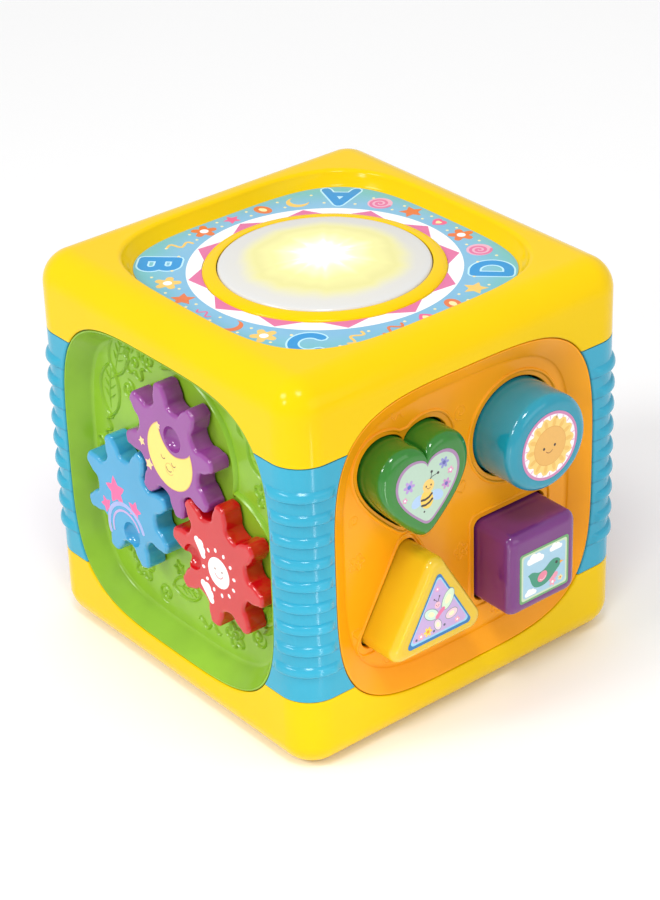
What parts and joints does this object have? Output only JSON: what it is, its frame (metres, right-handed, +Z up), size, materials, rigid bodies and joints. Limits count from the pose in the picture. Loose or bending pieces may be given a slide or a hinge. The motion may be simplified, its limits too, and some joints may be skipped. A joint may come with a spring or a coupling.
{
  "type": "baby activity cube",
  "caption": "Free-standing toy cube with a light-up drum on top, meshing toy gears on one side, a shape sorter on the next, and a door to get the blocks out.",
  "frame": {"origin": "middle of the flat face that the cube stands on", "axes": "+Z up through the drum, -Y out of the gear side, +X out of the shape-sorter side, +Y out of the door side"},
  "size_m": [0.2183, 0.2038, 0.2],
  "materials": {
    "black_plastic": "matte black plastic",
    "block_green": "polished ABS",
    "block_teal": "polished ABS",
    "block_violet": "polished ABS",
    "block_yellow": "polished ABS",
    "cell_wrap": "plain wrapped dry cell",
    "circuit_green": "circuit board",
    "door_red": "satin injection-moulded ABS",
    "drum_print": "printed plate round the drum",
    "gear_blue": "frosted front, polished edges",
    "gear_purple": "frosted front, polished edges",
    "gear_red": "frosted front, polished edges",
    "inner_grey": "plain moulded inner part",
    "lamp_clear": "clear lamp body",
    "lime": "satin injection-moulded ABS",
    "milky_lens": "translucent milky plastic that glows when lit",
    "orange": "satin injection-moulded ABS",
    "printed_label": "printed vinyl label",
    "sky_blue": "satin injection-moulded ABS",
    "sound_purple": "satin injection-moulded ABS",
    "yellow": "polished injection-moulded ABS",
    "zinc_steel": "zinc-plated steel"
  },
  "bodies": {
    "housing": {"battery_box": "black_plastic", "battery_door": "yellow", "battery_screw": "zinc_steel", "block_bin": "inner_grey", "bottom_cap": "yellow", "cell_1": "cell_wrap", "cell_2": "cell_wrap", "cell_3": "cell_wrap", "contact_plate_left": "zinc_steel", "contact_plate_right": "zinc_steel", "door_panel": "door_red", "door_pin": "zinc_steel", "drum_print": "drum_print", "drum_ring": "yellow", "drum_spring_1": "zinc_steel", "drum_spring_2": "zinc_steel", "drum_spring_3": "zinc_steel", "drum_switch": "black_plastic", "drum_tray": "inner_grey", "gear_panel": "lime", "lamp_1": "lamp_clear", "lamp_2": "lamp_clear", "lamp_3": "lamp_clear", "light_board": "circuit_green", "main_board": "circuit_green", "post_back_left": "sky_blue", "post_back_right": "sky_blue", "post_front_left": "sky_blue", "post_front_right": "sky_blue", "sorter_panel": "orange", "sound_chip": "black_plastic", "sound_panel": "sound_purple", "speaker": "black_plastic", "top_cap": "yellow"},
    "purple_gear_body": {"purple_gear": "gear_purple", "purple_gear_washer": "zinc_steel", "purple_gear_screw": "zinc_steel"},
    "red_gear_body": {"red_gear": "gear_red", "red_gear_washer": "zinc_steel", "red_gear_screw": "zinc_steel"},
    "blue_gear_body": {"blue_gear": "gear_blue", "blue_gear_washer": "zinc_steel", "blue_gear_screw": "zinc_steel"},
    "heart_block_body": {"heart_block": "block_green", "heart_block_base": "block_green", "heart_block_label": "printed_label"},
    "circle_block_body": {"circle_block": "block_teal", "circle_block_base": "block_teal", "circle_block_label": "printed_label"},
    "triangle_block_body": {"triangle_block": "block_yellow", "triangle_block_base": "block_yellow", "triangle_block_label": "printed_label"},
    "square_block_body": {"square_block": "block_violet", "square_block_base": "block_violet", "square_block_label": "printed_label"},
    "drum": {"drum_lens": "milky_lens"},
    "door": {"block_door": "sky_blue"},
    "power_slider": {"power_switch": "black_plastic"}
  },
  "joints": [
    {"name": "purple_gear_spin", "type": "hinge", "parent": "housing", "child": "purple_gear_body", "pos_m": [0.0042, -0.094, 0.133], "axis": [0, -1, 0], "continuous": true},
    {"name": "red_gear_spin", "type": "hinge", "parent": "housing", "child": "red_gear_body", "pos_m": [0.03715, -0.094, 0.08612], "axis": [0, -1, 0], "continuous": true},
    {"name": "blue_gear_spin", "type": "hinge", "parent": "housing", "child": "blue_gear_body", "pos_m": [-0.03317, -0.094, 0.08956], "axis": [0, -1, 0], "continuous": true},
    {"name": "heart_block_slide", "type": "slide", "parent": "housing", "child": "heart_block_body", "axis": [1, 0, 0], "range_m": [-0.045, 0.03]},
    {"name": "circle_block_slide", "type": "slide", "parent": "housing", "child": "circle_block_body", "axis": [1, 0, 0], "range_m": [-0.05, 0.03]},
    {"name": "triangle_block_slide", "type": "slide", "parent": "housing", "child": "triangle_block_body", "axis": [1, 0, 0], "range_m": [-0.05, 0.03]},
    {"name": "square_block_slide", "type": "slide", "parent": "housing", "child": "square_block_body", "axis": [1, 0, 0], "range_m": [-0.05, 0.03]},
    {"name": "drum_press", "type": "slide", "parent": "housing", "child": "drum", "axis": [0, 0, -1], "range_m": [0, 0.003], "stiffness_N_per_m": 900, "springref_m": -0.003, "deforming": ["drum_spring_1", "drum_spring_2", "drum_spring_3"]},
    {"name": "door_hinge", "type": "hinge", "parent": "housing", "child": "door", "pos_m": [0.0546, 0.096, 0.092], "axis": [0, 0, -1], "range_deg": [0, 110]},
    {"name": "power_slide", "type": "slide", "parent": "housing", "child": "power_slider", "axis": [0, -1, 0], "range_m": [0, 0.01]}
  ],
  "couplings": [
    {"joint": "red_gear_spin", "follows": "purple_gear_spin", "ratio": -1},
    {"joint": "blue_gear_spin", "follows": "purple_gear_spin", "ratio": -1}
  ]
}
